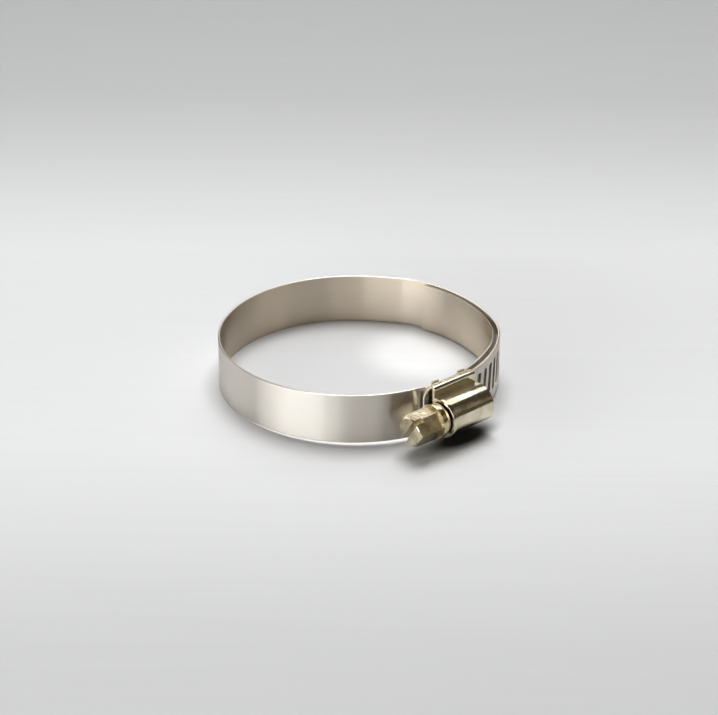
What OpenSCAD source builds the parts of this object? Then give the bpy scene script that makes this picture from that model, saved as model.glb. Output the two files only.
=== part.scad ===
// Lined worm-drive hose clamp.
// One steel strip runs round the ring, its inner end carries on as a liner under the slotted outer end,
// and a screw held in a pressed housing draws the slotted end along.
// The ring axis is Z, the housing sits at -Y and the screw lies along X with its head at -X.

/* [Strip] */
// Inside radius of the ring
bore_radius = 33; // [25:0.5:50]
// Strip thickness
strip_thick = 0.6; // [0.4:0.05:0.9]
// Strip width
strip_width = 12.7; // [9:0.1:14]
// Half width of the flat-seated strip under the housing
base_half = 8.2; // [7.5:0.1:10]
// Number of links in the plain part of the ring
plain_links = 9; // [6:1:12]
// Ring angle at which the outer strip leaves the bore circle
leave_angle = 41; // [30:1:50]
// Ring angle at which the liner ends
liner_end = 16; // [0:1:20]
// Number of liner links
liner_links = 4; // [4:1:6]
// Radius of the liner's first link, where it lifts off the bore circle
lift_radius = 50; // [34:0.5:60]
// Turn of that link
lift_turn = 14; // [10:1:30]
// Radius of its second link, where it bends back
back_radius = 22.5; // [18:0.5:33]
// Turn of that link
back_turn = 31.5; // [15:0.5:50]
// Bevel on the corners of its tip
tip_bevel = 1.5; // [0.5:0.1:3]

/* [Step over the liner] */
// Radius of the nearly straight run
ramp_radius = 150; // [80:1:300]
// Turn of the nearly straight run
ramp_turn = 3; // [1:0.5:5]
// Radius of the bend that ends the step
crest_radius = 16; // [8:0.5:24]
// Turn of that bend
crest_turn = 20; // [8:1:28]
// Turn of the bend beside the tail
shoulder_turn = 20; // [14:1:30]

/* [Tail] */
// Radius of the tail's middle surface
tail_radius = 37; // [34:0.5:42]
// Centre of the tail's curve along X
tail_centre_x = 0.7; // [0:0.1:1.5]
// Centre of the tail's curve along Y
tail_centre_y = 2.2; // [1:0.1:4]
// Angle from the bottom of that curve to the tail's hinge
tail_hinge_angle = 44; // [40:1:60]
// Angle from the bottom of that curve to the tail's free end
tail_end_angle = 13.5; // [10:0.5:16]
// Bevel on the corners of the free end
tail_bevel = 2.4; // [1:0.1:4]

/* [Slots] */
// Slot width along the strip
slot_width = 1.75; // [1.4:0.05:2]
// Slot length across the strip
slot_length = 8.4; // [6:0.1:10]
// Slots before the bottom of the tail's curve
slots_before = 2; // [0:1:3]
// Slots after it
slots_after = 8; // [4:1:10]

/* [Hinge ends] */
// Radius of each rounded end
knuckle_radius = 0.24; // [0.15:0.01:0.28]
// Radius of each hollow end
socket_radius = 0.33; // [0.31:0.01:0.5]
// Distance each rounded end stops short of the strip's edges
knuckle_inset = 0.15; // [0.05:0.05:0.5]
// Gap where the two halves of the ring meet
seam_gap = 0.2; // [0.1:0.05:0.5]

/* [Saddle] */
// Saddle thickness
saddle_thick = 0.7; // [0.5:0.05:0.8]
// Saddle half length
saddle_half = 6.9; // [6:0.1:8]
// Tab distance from the middle
tab_offset = 4.2; // [3:0.1:5]
// Tab width
tab_width = 2; // [1.5:0.1:3]
// Tab thickness
tab_thick = 0.6; // [0.4:0.05:0.8]
// Outer end of the upturned tabs, measured from the ring axis
tab_top = 35; // [34.6:0.05:35.4]

/* [Housing cap] */
// Cap half length
cap_half = 6.75; // [6:0.05:8]
// Sheet thickness
cap_sheet = 0.8; // [0.5:0.05:1]
// Inner radius of the arch
arch_inner = 3.85; // [3.7:0.05:4.5]
// Inner face of the side flanges, measured from the ring axis
flange_y = 35.5; // [35.3:0.05:36.5]
// Half distance between the ears
ear_gap = 6.45; // [6.4:0.05:7]
// Lower edge of the ears, measured from the ring axis
ear_foot = 34.3; // [33.5:0.1:34.6]
// Extra radius of the rolled rim
rim_step = 0.3; // [0.1:0.05:0.6]
// Width of the rolled rim
rim_width = 1.1; // [0.5:0.1:2]

/* [Screw] */
// Distance of the screw axis from the ring axis
screw_y = 38.4; // [38:0.05:40]
// Thread pitch
pitch = 3.175; // [2.5:0.005:4]
// Crest radius of the thread
crest = 3.7; // [3.4:0.05:4]
// Root radius of the thread
root = 3; // [2.5:0.05:3.3]
// Half length of the threaded body
worm_half = 5.7; // [5:0.1:6.5]
// Distance across the flats of the head
hex_flats = 7; // [6:0.01:10]
// Outer end of the head, measured from the middle
head_end = 16.8; // [14:0.1:20]
// Inner end of the head
head_start = 9.3; // [9:0.1:11]
// Flange radius
flange_radius = 4.35; // [4:0.05:5]
// Inner face of the flange
flange_start = 7.15; // [7:0.05:8]
// Neck radius
neck = 2.3; // [1.8:0.05:2.6]
// Radius of the far pivot
pivot = 2; // [1.5:0.05:2.5]
// Running clearance round the neck and the pivot
running_gap = 0.08; // [0.03:0.01:0.1]
// Driver slot width
driver_slot = 1.3; // [0.8:0.1:1.6]
// Driver slot depth
driver_depth = 2.2; // [1:0.1:3]
// Turn of the driver slot about the screw axis
driver_turn = 32; // [0:1:90]
// Turn of the hexagon about the screw axis
hex_turn = 30; // [0:1:60]

/* [Hidden] */
$fn = 96;
STEEL = [0.72, 0.70, 0.67];
PLATED = [0.74, 0.70, 0.56];
mid_radius = bore_radius + strip_thick / 2;
half_width = strip_width / 2;
base_turn = asin(base_half / mid_radius);
start_angle = -90 - base_turn;
plain_turn = (start_angle + 360 - leave_angle) / plain_links;
tail_centre = [tail_centre_x, tail_centre_y];
tail_hinge = tail_centre + tail_radius * [sin(tail_hinge_angle), -cos(tail_hinge_angle)];
slot_turn = pitch / (tail_radius + strip_thick / 6) * 180 / PI;
slot_slant = atan(pitch / (2 * PI * (crest - 0.2)));
thread_phase = tail_centre_x;
run_links = 3;
tab_root = sqrt(pow(bore_radius + strip_thick, 2) - pow(tab_offset - tab_width / 2, 2)) + 0.03;

// Running clockwise along the strip: position after an arc of radius r that turns by a from heading h.
function moved(p, h, r, a) = p + r * [sin(h) - sin(h - a), cos(h - a) - cos(h)];
function unit_move(h, a) = moved([0, 0], h, 1, a);
function cross2(a, b) = a[0] * b[1] - a[1] * b[0];

// The long run and the shoulder take the radii that close the ring between the step and the tail.
leave_point = mid_radius * [cos(leave_angle), sin(leave_angle)];
heading_0 = leave_angle - 90;
heading_1 = heading_0 - ramp_turn;
heading_2 = heading_1 - crest_turn;
heading_end = tail_hinge_angle - 180;
run_turn = heading_2 - heading_end - shoulder_turn;
step_end = moved(moved(leave_point, heading_0, ramp_radius, ramp_turn), heading_1, crest_radius, crest_turn);
to_close = tail_hinge - step_end;
run_unit = unit_move(heading_2, run_turn);
shoulder_unit = unit_move(heading_2 - run_turn, shoulder_turn);
run_radius = cross2(to_close, shoulder_unit) / cross2(run_unit, shoulder_unit);
shoulder_radius = cross2(run_unit, to_close) / cross2(run_unit, shoulder_unit);

// The liner lifts off along one arc, bends back along a second and closes on the bore circle along a third.
function on_arc(c, r, h) = c + r * [sin(h), -cos(h)];
function arc_centre(p, r, h) = p + r * [-sin(h), cos(h)];
liner_root = on_arc([0, 0], mid_radius, base_turn);
lift_centre = arc_centre(liner_root, lift_radius, base_turn);
back_heading = base_turn + lift_turn;
back_start = on_arc(lift_centre, lift_radius, back_heading);
back_centre = arc_centre(back_start, back_radius, back_heading);
close_heading = back_heading + back_turn;
close_start = on_arc(back_centre, back_radius, close_heading);
to_tip = mid_radius * [cos(liner_end), sin(liner_end)] - close_start;
half_close = atan2(to_tip[1], to_tip[0]) - close_heading;
close_radius = norm(to_tip) / (2 * sin(half_close));
close_centre = arc_centre(close_start, close_radius, close_heading);
close_turn = 2 * half_close / (liner_links - 2);
// Centre, radius, first heading and last heading of each liner link.
liner_arcs = concat(
    [[lift_centre, lift_radius, base_turn, back_heading], [back_centre, back_radius, back_heading, close_heading]],
    [for (i = [0:liner_links - 3])
        [close_centre, close_radius, close_heading + i * close_turn, close_heading + (i + 1) * close_turn]]
);

// Every link is one arc: its radius and its turn.
links = concat(
    [for (i = [1:plain_links]) [mid_radius, plain_turn]],
    [[ramp_radius, ramp_turn], [crest_radius, crest_turn]],
    [for (i = [1:run_links]) [run_radius, run_turn / run_links]],
    [[shoulder_radius, shoulder_turn]]
);
// Where link n starts, and the heading there.
first_state = [mid_radius * [cos(start_angle), sin(start_angle)], start_angle - 90];
function next_state(s, arc) = [moved(s[0], s[1], arc[0], arc[1]), s[1] - arc[1]];
function state(n) = n == 0 ? first_state : next_state(state(n - 1), links[n - 1]);
function centre_of(n) = state(n)[0] + links[n][0] * [sin(state(n)[1]), -cos(state(n)[1])];

// One arc of strip about a centre, between two angles.
module strip_arc(centre, radius, low, high) {
    translate([centre[0], centre[1], 0])
        rotate([0, 0, low])
            rotate_extrude(angle = high - low)
                translate([radius - strip_thick / 2, -half_width])
                    square([strip_thick, strip_width]);
}

// Rounded and hollow ends, each turned so that its seam line falls where it is cut away.
module round_end(p, into) {
    translate([p[0], p[1], -half_width + knuckle_inset])
        rotate([0, 0, into])
            cylinder(r = knuckle_radius, h = strip_width - 2 * knuckle_inset);
}

module hollow_end(p, out) {
    translate([p[0], p[1], -half_width - 1])
        rotate([0, 0, out])
            cylinder(r = socket_radius, h = strip_width + 2);
}

// A straight cut across the strip at a point, for the seam.
module seam_cut(s) {
    translate([s[0][0], s[0][1], 0])
        rotate([0, 0, s[1]])
            cube([seam_gap, 4, strip_width + 2], center = true);
}

module link_arc(n) {
    h = state(n)[1];
    strip_arc(centre_of(n), links[n][0], h + 90 - links[n][1], h + 90);
}

// A link hung from the housing side: rounded at its start, and hollow at its end or cut for the seam.
module left_link(n, at_seam = false) {
    difference() {
        union() {
            link_arc(n);
            round_end(state(n)[0], state(n)[1]);
        }
        if (at_seam)
            seam_cut(state(n + 1));
        else
            hollow_end(state(n + 1)[0], state(n + 1)[1]);
    }
}

// One slanted slot through the strip, at an angle about a centre.
module slot(centre, radius, angle) {
    translate([centre[0], centre[1], 0])
        rotate([0, 0, angle])
            translate([radius, 0, 0])
                rotate([-slot_slant, 0, 0])
                    cube([4, slot_width, slot_length], center = true);
}

// Slots evenly pitched about the middle of a link.
module link_slots(n, count) {
    middle = state(n)[1] + 90 - links[n][1] / 2;
    for (i = [0:count - 1])
        slot(centre_of(n), links[n][0], middle + (i - (count - 1) / 2) * pitch / links[n][0] * 180 / PI);
}

// A link hung from the tail: rounded at its end, and hollow at its start or cut for the seam.
module right_link(n, count, at_seam = false) {
    difference() {
        union() {
            link_arc(n);
            round_end(state(n + 1)[0], state(n + 1)[1] + 180);
        }
        if (at_seam)
            seam_cut(state(n));
        else
            hollow_end(state(n)[0], state(n)[1] + 180);
        link_slots(n, count);
    }
}

// Liner links start at the housing and run the other way round.
module liner_link(i) {
    centre = liner_arcs[i - 1][0];
    radius = liner_arcs[i - 1][1];
    from = liner_arcs[i - 1][2];
    to = liner_arcs[i - 1][3];
    difference() {
        union() {
            strip_arc(centre, radius, from - 90, to - 90);
            round_end(on_arc(centre, radius, from), from);
        }
        if (i < liner_links)
            hollow_end(on_arc(centre, radius, to), to);
        if (i == liner_links)
            for (side = [-1, 1])
                translate([centre[0], centre[1], 0])
                    rotate([0, 0, to - 90])
                        translate([radius, 0, side * half_width])
                            rotate([42, 0, 0])
                                cube([6, tip_bevel, tip_bevel], center = true);
    }
}

// Bar along X from x0 to x1.
module bar(x0, x1, r0, r1) {
    translate([x0, -screw_y, 0])
        rotate([0, 90, 0])
            cylinder(r1 = r0, r2 = r1, h = x1 - x0);
}

// Half of the pressed sheet section, drawn across and out from the ring axis.
module cap_half_section() {
    translate([arch_inner, flange_y])
        square([cap_sheet, screw_y - flange_y]);
    translate([arch_inner, flange_y])
        square([ear_gap - arch_inner, cap_sheet]);
    translate([ear_gap, ear_foot])
        square([cap_sheet, flange_y - ear_foot]);
    // the fold between flange and ear
    intersection() {
        translate([ear_gap, flange_y])
            circle(r = cap_sheet);
        translate([ear_gap, flange_y])
            square(cap_sheet + 1);
    }
}

module cap_section() {
    intersection() {
        translate([0, screw_y])
            difference() {
                circle(r = arch_inner + cap_sheet);
                circle(r = arch_inner);
            }
        translate([-10, screw_y])
            square([20, 10]);
    }
    cap_half_section();
    mirror([1, 0])
        cap_half_section();
}

// Lays a drawn section (across, out) so that out points to -Y and it runs along X.
module along_x(x0, x1) {
    multmatrix([[0, 0, 1, x0], [0, -1, 0, 0], [1, 0, 0, 0], [0, 0, 0, 1]])
        linear_extrude(height = x1 - x0)
            children();
}

// A wall that closes one end of the arch and holds the screw.
module end_wall_section(hole) {
    difference() {
        union() {
            intersection() {
                translate([0, screw_y])
                    circle(r = arch_inner + 0.3);
                translate([-10, screw_y])
                    square([20, 10]);
            }
            translate([-arch_inner - 0.3, flange_y])
                square([2 * arch_inner + 0.6, screw_y - flange_y]);
        }
        translate([0, screw_y])
            circle(r = hole);
    }
}

module rim_section() {
    intersection() {
        translate([0, screw_y])
            difference() {
                circle(r = arch_inner + cap_sheet + rim_step);
                circle(r = arch_inner + 0.2);
            }
        translate([-10, screw_y])
            square([20, 10]);
    }
}

module housing_cap() {
    color(PLATED)
        difference() {
            union() {
                along_x(-cap_half, cap_half)
                    cap_section();
                along_x(-cap_half, -cap_half + cap_sheet)
                    end_wall_section(neck + running_gap);
                along_x(cap_half - cap_sheet, cap_half)
                    end_wall_section(pivot + running_gap);
                along_x(-cap_half, -cap_half + rim_width)
                    rim_section();
            }
            // notches in the ears for the saddle's tabs
            for (side = [-1, 1], end = [-1, 1])
                translate([end * tab_offset, -tab_top + 1.95, side * (ear_gap + 0.6)])
                    cube([tab_width + 0.1, 4, 1.4], center = true);
            // the ears are cut back at their lower corners
            for (side = [-1, 1], end = [-1, 1])
                translate([end * cap_half, -ear_foot, side * (ear_gap + 0.4)])
                    rotate([0, 0, 45])
                        cube([1, 1, 3], center = true);
        }
}
module saddle() {
    radius = bore_radius + strip_thick;
    turn = asin(saddle_half / radius);
    color(PLATED)
        union() {
            rotate([0, 0, -90 - turn])
                rotate_extrude(angle = 2 * turn)
                    translate([radius, -half_width])
                        square([saddle_thick, strip_width]);
            // each tab leaves the saddle's edge and turns out into its notch
            for (side = [-1, 1], end = [-1, 1]) {
                translate([end * tab_offset, -tab_root - tab_thick / 2, side * (half_width + 0.4)])
                    cube([tab_width, tab_thick, 1.4], center = true);
                translate([end * tab_offset, -(tab_root + tab_top) / 2, side * (ear_gap + cap_sheet / 2)])
                    cube([tab_width, tab_top - tab_root, cap_sheet], center = true);
            }
        }
}

// Ridge of the thread: a trapezoid swept along the helix, fading out at both ends.
module thread_ridge() {
    reach = worm_half - 0.9;
    turns = 2 * reach / pitch;
    steps = round(turns * 30);
    function fade(t) = min(1, min(t, 1 - t) * turns * 5);
    function at(i) = let (t = i / steps, x = (t - 0.5) * turns * pitch)
        let (a = 360 * (x - thread_phase) / pitch, c = root - 0.25 + (crest - root + 0.25) * fade(t))
            [for (q = [[-0.72, root - 0.3], [-0.42, c], [0.42, c], [0.72, root - 0.3]])
                [x + q[0], q[1] * cos(a) - screw_y, q[1] * sin(a)]];
    rings = [for (i = [0:steps]) at(i)];
    points = [for (ring = rings, p = ring) p];
    sides = [for (i = [0:steps - 1], k = [0:3])
        let (a = 4 * i + k, b = 4 * i + (k + 1) % 4, c = b + 4, d = a + 4)
            each [[a, b, c], [a, c, d]]];
    polyhedron(points = points, faces = concat(sides, [[3, 2, 1, 0], [4 * steps, 4 * steps + 1,
        4 * steps + 2, 4 * steps + 3]]), convexity = 8);
}

module hex_head() {
    length = head_end - head_start;
    difference() {
        intersection() {
            translate([-head_end, -screw_y, 0])
                rotate([0, 90, 0])
                    rotate([0, 0, hex_turn])
                        cylinder(r = hex_flats / 2 / cos(30), h = length, $fn = 6);
            bar(-head_end, -head_start, flange_radius + 0.1, flange_radius + 0.1);
            bar(-head_end, -head_start, hex_flats / 2 - 0.2, hex_flats / 2 + 9);
        }
        translate([-head_end, -screw_y, 0])
            rotate([driver_turn, 0, 0])
                cube([2 * driver_depth, driver_slot, 12], center = true);
    }
}

module worm_screw() {
    color(PLATED)
        union() {
            hex_head();
            bar(-head_start - 0.1, -flange_start - 1.1, flange_radius, flange_radius);
            bar(-flange_start - 1.1, -flange_start, flange_radius, flange_radius - 0.35);
            bar(-flange_start - 0.1, -worm_half, neck, neck);
            bar(-worm_half - 0.1, worm_half, root, root);
            bar(worm_half - 0.1, cap_half + 0.25, pivot, pivot);
            thread_ridge();
        }
}

module band_base() {
    color(STEEL)
        difference() {
            strip_arc([0, 0], mid_radius, -90 - base_turn, -90 + base_turn);
            hollow_end(first_state[0], first_state[1]);
            hollow_end(mid_radius * [cos(-90 + base_turn), sin(-90 + base_turn)], base_turn);
        }
}

module band_tail() {
    color(STEEL)
        difference() {
            strip_arc(tail_centre, tail_radius, -90 - tail_end_angle, -90 + tail_hinge_angle);
            hollow_end(tail_hinge, tail_hinge_angle);
            for (k = [-slots_before:slots_after])
                slot(tail_centre, tail_radius, -90 + k * slot_turn);
            for (side = [-1, 1])
                translate([tail_centre[0], tail_centre[1], 0])
                    rotate([0, 0, -90 - tail_end_angle])
                        translate([tail_radius, 0, side * half_width])
                            rotate([45, 0, 0])
                                cube([4, tail_bevel, tail_bevel], center = true);
        }
}

module liner_1() {
    color(STEEL) liner_link(1);
}

module liner_2() {
    color(STEEL) liner_link(2);
}

module liner_3() {
    color(STEEL) liner_link(3);
}

module liner_4() {
    color(STEEL) liner_link(4);
}

module band_link_01() {
    color(STEEL) left_link(0);
}

module band_link_02() {
    color(STEEL) left_link(1);
}

module band_link_03() {
    color(STEEL) left_link(2);
}

module band_link_04() {
    color(STEEL) left_link(3);
}

module band_link_05() {
    color(STEEL) left_link(4);
}

module band_link_06() {
    color(STEEL) left_link(5);
}

module band_link_07() {
    color(STEEL) left_link(6);
}

module band_link_08() {
    color(STEEL) left_link(7);
}

module band_link_09() {
    color(STEEL) left_link(8);
}

module band_link_10() {
    color(STEEL) left_link(9);
}

module band_link_11() {
    color(STEEL) left_link(10);
}

module band_link_12() {
    color(STEEL) left_link(11, true);
}

module band_link_13() {
    color(STEEL) right_link(12, 3, true);
}

module band_link_14() {
    color(STEEL) right_link(13, 3);
}

module band_link_15() {
    color(STEEL) right_link(14, 1);
}

housing_cap();
saddle();
worm_screw();
band_base();
liner_1();
liner_2();
liner_3();
liner_4();
band_link_01();
band_link_02();
band_link_03();
band_link_04();
band_link_05();
band_link_06();
band_link_07();
band_link_08();
band_link_09();
band_link_10();
band_link_11();
band_link_12();
band_link_13();
band_link_14();
band_link_15();
band_tail();
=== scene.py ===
import math

import bpy
from mathutils import Matrix, Vector


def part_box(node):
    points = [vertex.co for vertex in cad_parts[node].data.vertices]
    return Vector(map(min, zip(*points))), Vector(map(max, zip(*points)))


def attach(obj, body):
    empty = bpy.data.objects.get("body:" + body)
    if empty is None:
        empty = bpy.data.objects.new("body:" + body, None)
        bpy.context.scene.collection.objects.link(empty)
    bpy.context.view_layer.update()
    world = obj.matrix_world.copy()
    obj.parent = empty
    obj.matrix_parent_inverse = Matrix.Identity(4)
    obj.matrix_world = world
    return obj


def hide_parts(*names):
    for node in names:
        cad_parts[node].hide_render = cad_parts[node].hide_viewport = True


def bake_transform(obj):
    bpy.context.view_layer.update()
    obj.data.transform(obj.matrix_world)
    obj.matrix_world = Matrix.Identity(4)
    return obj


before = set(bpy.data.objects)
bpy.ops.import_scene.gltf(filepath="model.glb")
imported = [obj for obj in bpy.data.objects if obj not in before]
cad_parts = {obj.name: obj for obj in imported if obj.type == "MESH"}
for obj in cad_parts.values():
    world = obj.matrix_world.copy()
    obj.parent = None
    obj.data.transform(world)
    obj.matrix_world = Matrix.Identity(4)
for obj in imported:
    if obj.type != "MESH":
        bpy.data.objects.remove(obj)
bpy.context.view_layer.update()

MM = 0.001

# ---------------------------------------------------------------- sizes, in millimetres and radians
BORE = 33.0                             # inside radius of the ring
THICK = 0.6                             # strip thickness
HALF_WIDTH = 6.35                       # half the strip's width
EDGE = 0.17                             # rounding of the strip's long edges
MID = BORE + THICK / 2                  # radius of the strip's middle surface

SEAT_HALF = 8.2                         # half width of the strip seated under the housing
PLAIN_LINKS = 9                         # equal lengths of strip from the seat to where it leaves the circle
LEAVE = math.radians(41)                # where the strip leaves the circle, from +X
RAMP = (150.0, math.radians(3))         # the nearly straight run beyond it: radius and turn
CREST = (16.0, math.radians(20))        # the bend over the lining's tip
SHOULDER_TURN = math.radians(20)        # the last bend before the tail
TAIL_RADIUS = 37.0
TAIL_CENTRE = Vector((0.7, 2.2))
TAIL_HINGE = math.radians(44)           # where the tail begins, from the bottom of its circle
TAIL_END = math.radians(13.5)           # its free end, past the bottom
TAIL_TAPER = 3.2                        # length over which the tail's corners are rounded
TAIL_CORNER = 2.6                       # their radius

LIFT = (50.0, math.radians(14))         # the lining rises from the seat: radius and turn
BACK = (22.5, math.radians(31.5))       # and bends back towards the circle
LINER_TIP = math.radians(16)            # where it ends, from +X
TIP_TAPER = 1.6                         # length over which its corners are rounded
TIP_CORNER = 0.9                        # their radius

PITCH = 3.175                           # of the screw's thread
CREST_RADIUS = 3.7                      # outside radius of the thread
SLANT = PITCH / (2 * math.pi * (CREST_RADIUS - 0.2))    # slope of the slots across the strip
SLOT_WIDTH = 1.75
SLOT_HALF = 4.2                         # half the length of a slot
SLOT_ROUND = 0.62                       # rounding of its corners
SLOTS_BEFORE = 2                        # slots between the screw and the free end
SLOTS_AFTER = 15                        # slots between the screw and the seam
SLANT_FROM = 0.3                        # how far past the seam the mesh starts to lean
SLANT_RISE, SLANT_FALL = 3.4, 1.3       # lengths over which it leans fully, and straightens at the free end

COLUMN = 0.6                            # longest step of the mesh along the strip
END_COLUMN = 0.05                       # the short step at each end of a piece
SEAT_PIECE = 4.0                        # half length of the piece in the middle of the seat
BLEND_MARGIN = 1.1                      # stiff length at each end of a piece that bends
TAIL_BLEND = 3.0                        # how far into the tail the last bending piece reaches


# ---------------------------------------------------------------- the strip's path
def arc(point, heading, radius, turn):
    """One arc from a point and heading; a negative turn runs clockwise."""
    side = math.copysign(1, turn)
    centre = point + side * radius * Vector((-math.sin(heading), math.cos(heading)))
    return {"centre": centre, "radius": radius, "turn": turn, "heading": heading,
            "length": radius * abs(turn)}


def arc_at(a, s):
    """Point and heading at arc length s along an arc."""
    side = math.copysign(1, a["turn"])
    h = a["heading"] + side * s / a["radius"]
    return a["centre"] + side * a["radius"] * Vector((math.sin(h), -math.cos(h))), h


def chain(point, heading, bends):
    """Arcs end to end from (radius, turn) pairs, with the point and heading where they end."""
    arcs = []
    for radius, turn in bends:
        a = arc(point, heading, radius, turn)
        arcs.append(a)
        point, heading = arc_at(a, a["length"])
    return arcs, point, heading


class Path:
    """Arcs end to end, walked by arc length from where they start."""

    def __init__(self, arcs):
        self.arcs = arcs
        self.starts = [sum(a["length"] for a in arcs[:i]) for i in range(len(arcs))]
        self.length = sum(a["length"] for a in arcs)
        self.side = math.copysign(1, arcs[0]["turn"])

    def at(self, s):
        i = max(k for k, start in enumerate(self.starts) if k == 0 or start <= s + 1e-9)
        return arc_at(self.arcs[i], s - self.starts[i])

    def place(self, s, out, z):
        """The point at arc length s, out from the middle surface, and z across the strip."""
        p, h = self.at(s)
        n = self.side * Vector((math.sin(h), -math.cos(h)))
        return Vector((p.x + out * n.x, p.y + out * n.y, z)) * MM

    def middle(self, i):
        """Arc length of the middle of arc i."""
        end = self.starts[i + 1] if i + 1 < len(self.starts) else self.length
        return (self.starts[i] + end) / 2


class SeatPath:
    """The seated strip, measured both ways from the bottom of the ring, clockwise positive."""
    side = -1.0

    def place(self, s, out, z):
        a = -math.pi / 2 - s / MID
        r = MID + out
        return Vector((r * math.cos(a), r * math.sin(a), z)) * MM


def cross(a, b):
    return a.x * b.y - a.y * b.x


def unit_move(heading, turn):
    """Chord of a unit-radius clockwise arc."""
    return Vector((math.sin(heading) - math.sin(heading - turn),
                   math.cos(heading - turn) - math.cos(heading)))


BOTTOM = Vector((0, -MID))
SEAT_TURN = math.asin(SEAT_HALF / MID)


def outer_path():
    """From the bottom of the ring clockwise, as seen from +Z, to the free end of the tail.

    The last two bends close the loop: their radii follow from where the tail has to begin.
    """
    plain_turn = (2 * math.pi - math.pi / 2 - SEAT_TURN - LEAVE) / PLAIN_LINKS
    lead = [(MID, -SEAT_TURN)] + [(MID, -plain_turn)] * PLAIN_LINKS
    lead += [(RAMP[0], -RAMP[1]), (CREST[0], -CREST[1])]
    lead_arcs, lead_end, heading = chain(BOTTOM, math.pi, lead)
    tail_start = TAIL_CENTRE + TAIL_RADIUS * Vector((math.sin(TAIL_HINGE), -math.cos(TAIL_HINGE)))
    run_turn = (heading - (TAIL_HINGE - math.pi) - SHOULDER_TURN) % (2 * math.pi)
    to_close = tail_start - lead_end
    run = unit_move(heading, run_turn)
    shoulder = unit_move(heading - run_turn, SHOULDER_TURN)
    run_radius = cross(to_close, shoulder) / cross(run, shoulder)
    shoulder_radius = cross(run, to_close) / cross(run, shoulder)
    closing = [(run_radius, -run_turn / 3)] * 3
    closing += [(shoulder_radius, -SHOULDER_TURN), (TAIL_RADIUS, -(TAIL_HINGE + TAIL_END))]
    return Path(lead_arcs + chain(lead_end, heading, closing)[0])


def liner_path():
    """From the bottom of the ring counter-clockwise to the tip of the lining, back on the circle."""
    arcs, start, heading = chain(BOTTOM, 0.0, [(MID, SEAT_TURN), LIFT, BACK])
    to_tip = MID * Vector((math.cos(LINER_TIP), math.sin(LINER_TIP))) - start
    turn = math.atan2(to_tip.y, to_tip.x) - heading
    radius = to_tip.length / (2 * math.sin(turn))
    return Path(arcs + chain(start, heading, [(radius, turn)] * 2)[0])


outer = outer_path()
liner = liner_path()

# the body of each arc; link_13 to link_15 hang from the tail, so the seam is where link_13 starts
OUTER_BODIES = ["housing"] + ["link_%02d" % i for i in range(1, 16)] + ["tail"]
LINER_BODIES = ["housing"] + ["liner_%d" % i for i in range(1, 5)]
SEAM_ARC, TAIL_ARC = OUTER_BODIES.index("link_13"), OUTER_BODIES.index("tail")
SEAM = outer.starts[SEAM_ARC]
TAIL_BOTTOM = outer.length - TAIL_RADIUS * TAIL_END         # where the tail passes under the screw
SLOT_PITCH = PITCH * TAIL_RADIUS / (TAIL_RADIUS + THICK / 6)


# ---------------------------------------------------------------- the strip's section
def edge_profile():
    """Half the strip's section as (z, out), from the middle of its outer face to that of its inner face."""
    slot_end = [SLOT_HALF - step for step in (SLOT_ROUND, 0.3, 0.12, 0.03, 0)]
    flat = [(z, THICK / 2) for z in [0.0, 1.4, 2.8] + slot_end + [4.7, 5.3, 5.85]]
    corner = []
    for k in range(5):
        a = k * math.pi / 8
        corner.append((HALF_WIDTH - EDGE + EDGE * math.sin(a), THICK / 2 - EDGE + EDGE * math.cos(a)))
    half = flat + corner
    return half + [(z, -out) for z, out in reversed(half)]


HALF_SECTION = edge_profile()
# the whole loop: up the +z half and back down the -z half, without repeating the middle points
SECTION = HALF_SECTION + [(-z, out) for z, out in reversed(HALF_SECTION[1:-1])]
LOOP = len(SECTION)


def on_face(k):
    """True where point k of the section lies on the flat of the outer or the inner face."""
    return abs(SECTION[k][1]) > THICK / 2 - 1e-6


def across_slot(z):
    return abs(z) <= SLOT_HALF + 1e-6


def slot_rows():
    """Pairs of section points, outer face and inner face, at each z that a slot reaches, in order of z."""
    rows = {}
    for k, (z, out) in enumerate(SECTION):
        if on_face(k) and across_slot(z):
            rows.setdefault(round(z, 4), {})[out > 0] = k
    return [(rows[z][True], rows[z][False]) for z in sorted(rows)]


# ---------------------------------------------------------------- the strip's slots
def slot_middles(low, high):
    """Middles of the slots that lie within this stretch of the outer path."""
    middles = [TAIL_BOTTOM - k * SLOT_PITCH for k in range(SLOTS_AFTER, -SLOTS_BEFORE - 1, -1)]
    return [m for m in middles if low < m < high]


def between_slots(s):
    """The place nearest to s that is halfway between two slots, so that no slot is cut in two."""
    k = round((TAIL_BOTTOM - s) / SLOT_PITCH - 0.5)
    return TAIL_BOTTOM - (k + 0.5) * SLOT_PITCH


def slot_half_width(z):
    """Half width of a slot at z across the strip: its corners are rounded."""
    over = min(abs(z) - (SLOT_HALF - SLOT_ROUND), SLOT_ROUND)
    if over <= 0:
        return SLOT_WIDTH / 2
    return SLOT_WIDTH / 2 - SLOT_ROUND + math.sqrt(max(0.0, SLOT_ROUND ** 2 - over * over))


def smooth(t):
    """Eases from 0 to 1."""
    t = min(1.0, max(0.0, t))
    return t * t * (3 - 2 * t)


def no_slant(s):
    return 0.0


def slot_slant(s):
    """The slots lean with the thread, so the mesh leans with them from the seam to near the free end."""
    rise = smooth((s - SEAM - SLANT_FROM) / SLANT_RISE)
    fall = smooth((outer.length - s) / SLANT_FALL)
    return -SLANT * rise * fall


def no_trim(s, z):
    return 0.0


def rounded_end(length, taper, radius):
    """A trim that draws the last stretch of a strip back at its edges, to round its two corners."""
    def trim(s, z):
        over = max(0.0, abs(z) - (HALF_WIDTH - radius))
        back = radius - math.sqrt(max(0.0, radius * radius - over * over))
        return back * smooth((s - (length - taper)) / taper)
    return trim


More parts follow.
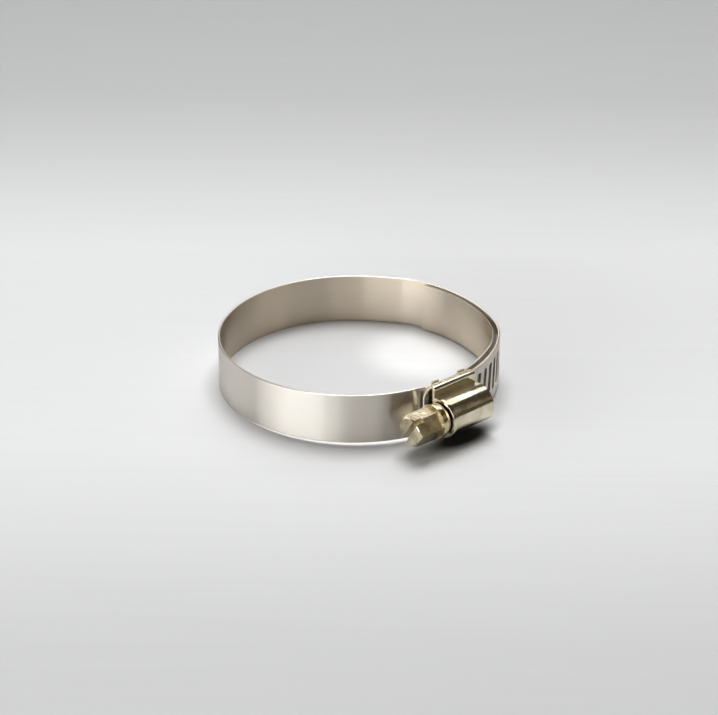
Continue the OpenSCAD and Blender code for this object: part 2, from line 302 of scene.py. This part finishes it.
# ---------------------------------------------------------------- the strip's mesh
def steps(a, b, longest):
    """Places from a to b in equal steps no longer than this."""
    n = max(1, math.ceil(abs(b - a) / longest - 1e-6))
    return [a + (b - a) * i / n for i in range(n + 1)]


def columns(low, high, slots):
    """Arc lengths of the mesh columns, and for each whether the stretch after it is cut by a slot.

    The first and last steps are short, so that neighbouring pieces shade alike where they meet.
    """
    marks = {low, low + END_COLUMN, high - END_COLUMN, high}
    cut = set()
    for m in slots:
        own = [m + f * SLOT_WIDTH for f in (-0.5, -0.25, 0, 0.25, 0.5)]
        marks.update(own)
        cut.update(round(s, 5) for s in own[:-1])
    marks = sorted(marks)
    cols = [marks[0]]
    for a, b in zip(marks, marks[1:]):
        if b - a > 1e-6:
            cols += steps(a, b, COLUMN)[1:]
    return cols, [round(s, 5) in cut for s in cols]


def strip_points(path, cols, slots, slant, trim):
    """The mesh's points, and each one's place on the flat strip."""
    points, flat = [], []
    for s in cols:
        near = [m for m in slots if abs(s - m) < SLOT_WIDTH / 2 + 1e-6]
        for z, out in SECTION:
            t = s
            if near and across_slot(z):
                t = near[0] + (s - near[0]) * slot_half_width(z) / (SLOT_WIDTH / 2)
            t += slant(s) * z - trim(s, z)
            points.append(path.place(t, out, z))
            flat.append((t, z))
    return points, flat


def strip_faces(count, cut):
    """Faces of a closed strip of this many columns on a clockwise path, open where it is cut."""
    faces = []
    for i in range(count - 1):
        for k in range(LOOP):
            j = (k + 1) % LOOP
            in_slot = across_slot(SECTION[k][0]) and across_slot(SECTION[j][0])
            if cut[i] and in_slot and on_face(k) and on_face(j):
                continue
            faces.append([i * LOOP + k, i * LOOP + j, (i + 1) * LOOP + j, (i + 1) * LOOP + k])
    rows = slot_rows()
    for i in range(count - 1):
        if cut[i]:
            for (a, b), turn in ((rows[0], 1), (rows[-1], -1)):
                wall = [i * LOOP + a, (i + 1) * LOOP + a, (i + 1) * LOOP + b, i * LOOP + b]
                faces.append(wall[::turn])
    for i in range(count):
        before = i > 0 and cut[i - 1]
        after = i < count - 1 and cut[i]
        if before != after:
            for (a0, b0), (a1, b1) in zip(rows, rows[1:]):
                wall = [i * LOOP + a0, i * LOOP + a1, i * LOOP + b1, i * LOOP + b0]
                faces.append(wall[::-1] if after else wall)
    first = list(range(LOOP))
    last = [(count - 1) * LOOP + k for k in first]
    return faces + [first[::-1], last]


def strip_mesh(name, path, low, high, slots=(), slant=no_slant, trim=no_trim):
    """A closed length of strip between two arc lengths. slant and trim move its points along it."""
    cols, cut = columns(low, high, slots)
    points, flat = strip_points(path, cols, slots, slant, trim)
    faces = strip_faces(len(cols), cut)
    if path.side > 0:
        faces = [face[::-1] for face in faces]
    mesh = bpy.data.meshes.new(name)
    mesh.from_pydata([tuple(p) for p in points], [], faces)
    mesh.validate()
    # marks the inner face, where the material paints a darker, warmer reflection
    inner = mesh.attributes.new("inner_face", "FLOAT", "POINT")
    for k in range(len(points)):
        inner.data[k].value = 1.0 if SECTION[k % LOOP][1] < 0 else 0.0
    layer = mesh.uv_layers.new(name="rest")
    for loop in mesh.loops:
        along, across = flat[loop.vertex_index]
        layer.data[loop.index].uv = (along * MM, across * MM)
    mesh.update()
    return smooth_object(name, mesh)


def smooth_object(name, mesh, sharp=35):
    """Links a mesh as an object, shaded smooth but for edges sharper than this angle in degrees."""
    for poly in mesh.polygons:
        poly.use_smooth = True
    mesh.set_sharp_from_angle(angle=math.radians(sharp))
    return linked(name, mesh)


def linked(name, data):
    """A new object in the scene."""
    obj = bpy.data.objects.new(name, data)
    bpy.context.scene.collection.objects.link(obj)
    return obj


# ---------------------------------------------------------------- camera
AZIMUTH, ELEVATION = math.radians(-42.0), math.radians(26.87)
DISTANCE = 663.6                        # mm from the point on the floor under the ring's axis
FOCAL, SENSOR = 133.1, 36               # mm
ASIDE, ABOVE = -1.33, -5.21             # how far that point is from the picture's middle, in mm
VIEW_ALONG = Vector((-math.sin(AZIMUTH), math.cos(AZIMUTH), 0))     # level, away from the camera


def add_camera():
    back = Vector((math.sin(AZIMUTH) * math.cos(ELEVATION), -math.cos(AZIMUTH) * math.cos(ELEVATION),
                   math.sin(ELEVATION)))
    right = Vector((math.cos(AZIMUTH), math.sin(AZIMUTH), 0))
    up = back.cross(right)
    target = Vector((0, 0, -HALF_WIDTH))
    camera = linked("camera", bpy.data.cameras.new("camera"))
    pose = Matrix((right, up, back)).transposed().to_4x4()
    pose.translation = (target + back * DISTANCE - right * ASIDE - up * ABOVE) * MM
    camera.matrix_world = pose
    camera.data.sensor_width = SENSOR
    camera.data.lens = FOCAL
    camera.data.clip_start, camera.data.clip_end = 0.01, 20
    bpy.context.scene.camera = camera


add_camera()

# ---------------------------------------------------------------- materials
STEEL_COLOR = (0.72, 0.68, 0.62)
STEEL_ROUGH = (0.32, 0.39)
INNER_PAINTED_REFLECTION = (0.96, 0.90, 0.81)         # painted reflection: the strip's inner face is painted a little darker and warmer than the outer, for the dark warm room it mirrors
ROLLING_LINES = (18, 2600, 1)           # noise per metre along and across the strip
HOUSING_COLOR, HOUSING_DARK = (0.72, 0.67, 0.53), (0.50, 0.43, 0.30)
SCREW_COLOR, SCREW_DARK = (0.70, 0.63, 0.46), (0.40, 0.32, 0.19)
HOUSING_CLOUDS, SCREW_CLOUDS = 260, 420     # noise per metre
PLATED_ROUGH = (0.12, 0.24)


class Shader:
    """A new material and short calls for the nodes that it is made of."""

    def __init__(self, name):
        self.material = bpy.data.materials.new(name)
        self.material.use_nodes = True
        self.tree = self.material.node_tree
        self.surface = self.tree.nodes["Principled BSDF"].inputs

    def node(self, kind, inputs=(), **settings):
        """A node with its settings, and its inputs set to values or linked to other nodes' outputs."""
        made = self.tree.nodes.new(kind)
        for key, value in settings.items():
            setattr(made, key, value)
        for key, value in dict(inputs).items():
            if isinstance(value, bpy.types.NodeSocket):
                self.tree.links.new(value, made.inputs[key])
            else:
                made.inputs[key].default_value = value
        return made

    def set(self, **inputs):
        """Sets or links the surface's own inputs; an underscore in a name stands for a space."""
        for key, value in inputs.items():
            socket = self.surface[key.replace("_", " ")]
            if isinstance(value, bpy.types.NodeSocket):
                self.tree.links.new(value, socket)
            else:
                socket.default_value = value

    def noise(self, where, scale, detail, roughness=0.5):
        made = self.node("ShaderNodeTexNoise", {"Vector": where, "Scale": scale, "Detail": detail,
                                                "Roughness": roughness})
        return made.outputs[0]

    def mapping(self, where, **inputs):
        made = self.node("ShaderNodeMapping", {"Vector": where, **inputs})
        return made.outputs[0]

    def spread(self, value, low, high, start=0.0, end=1.0, curve="LINEAR"):
        """Takes a value from start..end to low..high."""
        made = self.node("ShaderNodeMapRange", {"Value": value, "From Min": start, "From Max": end,
                                                "To Min": low, "To Max": high}, interpolation_type=curve)
        return made.outputs[0]

    def ramp(self, value, stops):
        """Colours along a value: stops are pairs of place and colour."""
        made = self.node("ShaderNodeValToRGB", {0: value})
        elements = made.color_ramp.elements
        for place, _ in stops[1:-1]:
            elements.new(place)
        for element, (place, color) in zip(elements, stops):
            element.position = place
            element.color = (*color, 1)
        return made.outputs[0]

    def multiply(self, color, by, factor=1.0):
        """One colour times another. Inputs 6 and 7 and output 2 of this node are its colours."""
        made = self.node("ShaderNodeMix", {"Factor": factor, 6: color, 7: by}, data_type="RGBA",
                         blend_type="MULTIPLY")
        return made.outputs[2]

    def bump(self, height, strength, distance):
        made = self.node("ShaderNodeBump", {"Height": height, "Strength": strength, "Distance": distance})
        return made.outputs[0]


def rolled_steel(name):
    """Bright rolled strip: fine lines along its length, cloudy gloss, highlights stretched across, and a
    painted darker, warmer reflection on its inner face.
    """
    mat = Shader(name)
    where = mat.node("ShaderNodeUVMap", uv_map="rest").outputs[0]
    grain = mat.node("ShaderNodeTangent", direction_type="UV_MAP", uv_map="rest").outputs[0]
    lines = mat.noise(mat.mapping(where, Scale=ROLLING_LINES), 1.0, 3.0)
    clouds = mat.noise(where, 90.0, 4.0)
    half_clouds = mat.node("ShaderNodeMath", {0: clouds, 1: 0.5}, operation="MULTIPLY").outputs[0]
    mixed = mat.node("ShaderNodeMath", {0: lines, 1: 0.5, 2: half_clouds},
                     operation="MULTIPLY_ADD").outputs[0]
    tone = mat.ramp(mixed, [(0.3, [c * 0.94 for c in STEEL_COLOR]), (0.65, STEEL_COLOR)])
    # the inner face gets the painted darker, warmer reflection
    inner = mat.node("ShaderNodeAttribute", attribute_name="inner_face").outputs["Fac"]
    mat.set(Metallic=1.0, Anisotropic=1.0, Anisotropic_Rotation=0.25, Tangent=grain,
            Base_Color=mat.multiply(tone, (*INNER_PAINTED_REFLECTION, 1), factor=inner),
            Roughness=mat.spread(mixed, *STEEL_ROUGH, start=0.3, end=0.7),
            Normal=mat.bump(lines, 0.02, 0.00005))
    return mat.material


def plated(name, color, dark, clouds_scale):
    """Bright yellowish plating: cloudy colour, glossier where it is paler, and slightly uneven."""
    mat = Shader(name)
    where = mat.node("ShaderNodeTexCoord").outputs["Object"]
    clouds = mat.noise(where, clouds_scale, 5.0, roughness=0.6)
    dents = mat.noise(where, clouds_scale * 2.2, 2.0)
    glossy, dull = PLATED_ROUGH
    mat.set(Metallic=1.0,
            Base_Color=mat.ramp(clouds, [(0.32, dark), (0.6, color)]),
            Roughness=mat.spread(clouds, dull, glossy, start=0.3, end=0.7),
            Normal=mat.bump(dents, 0.25, 0.0001))
    return mat.material


STRIP = rolled_steel("strip")
HOUSING = plated("plated_housing", HOUSING_COLOR, HOUSING_DARK, HOUSING_CLOUDS)
SCREW = plated("plated_screw", SCREW_COLOR, SCREW_DARK, SCREW_CLOUDS)


# ---------------------------------------------------------------- the strip's pieces
def finish_strip(obj):
    obj.data.materials.append(STRIP)
    return obj


def rigid(name, body, path, low, high, **shape):
    """A length of strip that rides on one body."""
    obj = strip_mesh(name, path, low, high, **shape)
    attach(obj, body)
    return finish_strip(obj)


def bending(name, a, b, path, low, high, **shape):
    """A length of strip across a hinge, between one body and the next, baked where it rests."""
    obj = strip_mesh(name, path, low, high, **shape)
    path.place(low + BLEND_MARGIN, 0, 0)
    path.place(high - BLEND_MARGIN, 0, 0)
    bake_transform(obj)
    return finish_strip(obj)


def make_strip():
    """The whole strip, cut in the middle of each body so that every hinge lies inside a bending piece."""
    pieces = [rigid("strip_seat", "housing", SeatPath(), -SEAT_PIECE, SEAT_PIECE)]
    cuts = [SEAT_PIECE] + [outer.middle(i) for i in range(1, SEAM_ARC)]
    for i in range(1, SEAM_ARC):
        pieces.append(bending("strip_%02d" % i, *OUTER_BODIES[i - 1:i + 1], outer, cuts[i - 1], cuts[i]))
    pieces.append(rigid("strip_seam_in", "link_12", outer, cuts[-1], SEAM))

    tail = {"slant": slot_slant, "trim": rounded_end(outer.length, TAIL_TAPER, TAIL_CORNER)}
    cuts = [SEAM] + [between_slots(outer.middle(i)) for i in range(SEAM_ARC, TAIL_ARC)]
    cuts += [between_slots(outer.starts[TAIL_ARC] + TAIL_BLEND), outer.length]
    slots = [slot_middles(low, high) for low, high in zip(cuts, cuts[1:])]
    pieces.append(rigid("strip_seam_out", "link_13", outer, *cuts[:2], slots=slots[0], **tail))
    for k in range(1, 4):
        i = SEAM_ARC + k
        pieces.append(bending("strip_%02d" % i, *OUTER_BODIES[i - 1:i + 1], outer, *cuts[k:k + 2],
                              slots=slots[k], **tail))
    pieces.append(rigid("strip_tail", "tail", outer, *cuts[-2:], slots=slots[-1], **tail))

    cuts = [SEAT_PIECE] + [liner.middle(i) for i in range(1, len(LINER_BODIES))]
    for i in range(1, len(LINER_BODIES)):
        pieces.append(bending("liner_strip_%d" % i, *LINER_BODIES[i - 1:i + 1], liner, cuts[i - 1], cuts[i]))
    pieces.append(rigid("liner_tip", "liner_4", liner, cuts[-1], liner.length,
                        trim=rounded_end(liner.length, TIP_TAPER, TIP_CORNER)))
    return {obj.name: obj for obj in pieces}


def stand_in(strip):
    """Each CAD length of strip gives way to the piece that covers most of it."""
    stands_for = {"band_base": "strip_seat", "band_link_13": "strip_seam_out", "band_tail": "strip_tail"}
    stands_for.update({"band_link_%02d" % i: "strip_%02d" % i for i in list(range(1, 13)) + [14, 15]})
    stands_for.update({"liner_%d" % i: "liner_strip_%d" % i for i in range(1, 5)})
    for node, piece in stands_for.items():
        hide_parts(node)


stand_in(make_strip())


# ---------------------------------------------------------------- the pressed and turned pieces
def soften(name, mat, width):
    """Rounds the sharp edges of a CAD piece, by this width in mm, and paints it."""
    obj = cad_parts[name]
    weld = obj.modifiers.new("weld", "WELD")
    weld.merge_threshold = 0.004 * MM
    bevel = obj.modifiers.new("rounding", "BEVEL")
    bevel.width = width * MM
    bevel.segments = 3
    bevel.limit_method = "ANGLE"
    bevel.angle_limit = math.radians(32)
    bevel.use_clamp_overlap = True
    bevel.harden_normals = True
    obj.data.materials.clear()
    obj.data.materials.append(mat)


soften("housing_cap", HOUSING, 0.16)
soften("saddle", HOUSING, 0.14)
soften("worm_screw", SCREW, 0.16)

# ---------------------------------------------------------------- floor
# painted light falloff: distance beyond the ring's axis in metres, and how light the paper is painted there
PAINTED_FALLOFF_LEVELS = [(-0.15, 0.605), (-0.12, 0.61), (-0.095, 0.645), (-0.07, 0.69), (-0.035, 0.73), (0.0, 0.71),
                (0.03, 0.69), (0.077, 0.675), (0.111, 0.603), (0.149, 0.51), (0.19, 0.437), (0.28, 0.385)]
PAPER_NEAR, PAPER_FAR = -0.2, 0.3       # metres: the ends of the painted light falloff
PAPER_TINT = (0.985, 1, 1.02)
PAPER_HALF = 3.0                        # half the paper's width, in metres
PAPER_STREAKS = (420, 14, 1)            # noise per metre away from the camera and across the view
# painted shadows and a painted pool of light: middle and half axes in mm, and how much light they return
PAINTED_SHADOWS_AND_GLOW = [((0.1, -38.9), (11.5, 4.6), 0.02),      # painted shadow under the housing
                ((-11.0, -38.2), (5.4, 3.2), 0.62),     # painted shadow under the head
                ((22.2, -0.6), (15.5, 15.5), 1.3)]      # painted pool of light inside the ring, where the lining throws light onto the paper
EARS_TOUCH = -35.3                      # mm: where the housing's ears touch the floor, in Y


def paint_light_patch(mat, where, color, centre, reach, level):
    """Paints shade or light into a colour: darkens or lightens it inside an ellipse with a soft rim."""
    unit = mat.mapping(where, Location=(-centre[0] / reach[0], -centre[1] / reach[1], 0),
                       Scale=(1 / (reach[0] * MM), 1 / (reach[1] * MM), 0))
    distance = mat.node("ShaderNodeVectorMath", {0: unit}, operation="LENGTH").outputs["Value"]
    rim = mat.spread(distance, level, 1.0, start=0.45, end=1.2, curve="SMOOTHSTEP")
    return mat.multiply(color, rim)


def floor_paper_painted_light():
    """Pale paper with a painted light falloff, brightest round the ring and greyer behind and in front, with
    faint streaks and painted patches of shadow and light.
    """
    mat = Shader("floor_paper_painted_light")
    where = mat.node("ShaderNodeTexCoord").outputs["Object"]
    turned = mat.mapping(where, Rotation=(0, 0, -math.atan2(VIEW_ALONG.y, VIEW_ALONG.x)))
    along = mat.node("ShaderNodeSeparateXYZ", {0: turned}).outputs["X"]
    reach = PAPER_FAR - PAPER_NEAR
    stops = [((d - PAPER_NEAR) / reach, [light * t for t in PAPER_TINT]) for d, light in PAINTED_FALLOFF_LEVELS]
    # the painted light falloff along the view
    tone = mat.ramp(mat.spread(along, 0.0, 1.0, start=PAPER_NEAR, end=PAPER_FAR), stops)
    streaks = mat.noise(mat.mapping(turned, Scale=PAPER_STREAKS), 1.0, 3.0)
    color = mat.multiply(tone, mat.spread(streaks, 0.975, 1.025))
    # paints the shadows under the housing and the head, and the pool of light inside the ring
    for centre, half_axes, level in PAINTED_SHADOWS_AND_GLOW:
        color = paint_light_patch(mat, where, color, centre, half_axes, level)
    mat.set(Base_Color=color, Roughness=0.85, Specular_IOR_Level=0.2)
    return mat.material


def add_floor():
    """The paper tilts a little, to touch the housing's ears and the far edge of the ring."""
    half = PAPER_HALF
    mesh = bpy.data.meshes.new("floor")
    corners = [(-half, -half, 0), (half, -half, 0), (half, half, 0), (-half, half, 0)]
    mesh.from_pydata(corners, [], [(0, 1, 2, 3)])
    floor = linked("floor", mesh)
    ears_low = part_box("housing_cap")[0].z
    ring_low, ring_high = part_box("band_link_05")
    near = EARS_TOUCH * MM
    slope = (ring_low.z - ears_low) / (ring_high.y - near)
    floor.location = (0, 0, ears_low - slope * near - 0.02 * MM)
    floor.rotation_euler = (math.atan(slope), 0, 0)
    floor.data.materials.append(floor_paper_painted_light())


# ---------------------------------------------------------------- light
COOL, WHITE, WARM, AMBER = (0.97, 0.985, 1), (1, 1, 1), (1, 0.96, 0.9), (1, 0.9, 0.65)
# name, azimuth and elevation in degrees, distance and size in metres, radiance, colour
SOFTBOXES = [
    ("key", 185.5, 9, 1.0, (0.72, 0.24), 9.5, COOL),
    ("key_rise", 161.3, 9, 1.0, (0.15, 0.24), 6.3, WHITE),
    ("key_soft", 152, 9, 1.0, (0.18, 0.24), 4.4, WHITE),
    ("key_edge", 212, 9, 1.0, (0.22, 0.24), 5.5, WHITE),
    ("key_fade", 222, 9, 1.0, (0.14, 0.24), 1.6, WHITE),
    ("overhead", 40, 73, 0.9, (0.5, 0.5), 9.0, WHITE),
    ("behind", 32, 44, 1.0, (0.8, 0.5), 2.2, WHITE),
    ("left", 118, 24, 1.0, (0.75, 0.4), 1.6, WHITE),
    ("front", 236, 12, 1.3, (0.6, 0.35), 1.5, WARM),
    ("fill", -50, 24, 0.8, (0.6, 0.26), 0.2, AMBER),
]
ROOM_COLOR, ROOM_LIGHT = (0.60, 0.47, 0.33, 1), 0.10


def softbox(name, azimuth, elevation, distance, size, radiance, color):
    """A rectangular softbox facing the ring. Radiance is what it shows in a mirror."""
    a, e = math.radians(azimuth), math.radians(elevation)
    where = distance * Vector((math.cos(a) * math.cos(e), math.sin(a) * math.cos(e), math.sin(e)))
    data = bpy.data.lights.new(name, "AREA")
    data.shape = "RECTANGLE"
    data.size, data.size_y = size
    data.energy = radiance * math.pi * size[0] * size[1]
    data.color = color
    obj = linked(name, data)
    obj.location = where
    obj.rotation_euler = (-where).to_track_quat("-Z", "Y").to_euler()


def add_room():
    """A dim warm room round the softboxes."""
    world = bpy.data.worlds.new("studio")
    bpy.context.scene.world = world
    world.use_nodes = True
    background = world.node_tree.nodes["Background"].inputs
    background["Color"].default_value = ROOM_COLOR
    background["Strength"].default_value = ROOM_LIGHT


add_floor()
for box in SOFTBOXES:
    softbox(*box)
add_room()
bpy.context.scene.view_settings.view_transform = "Standard"
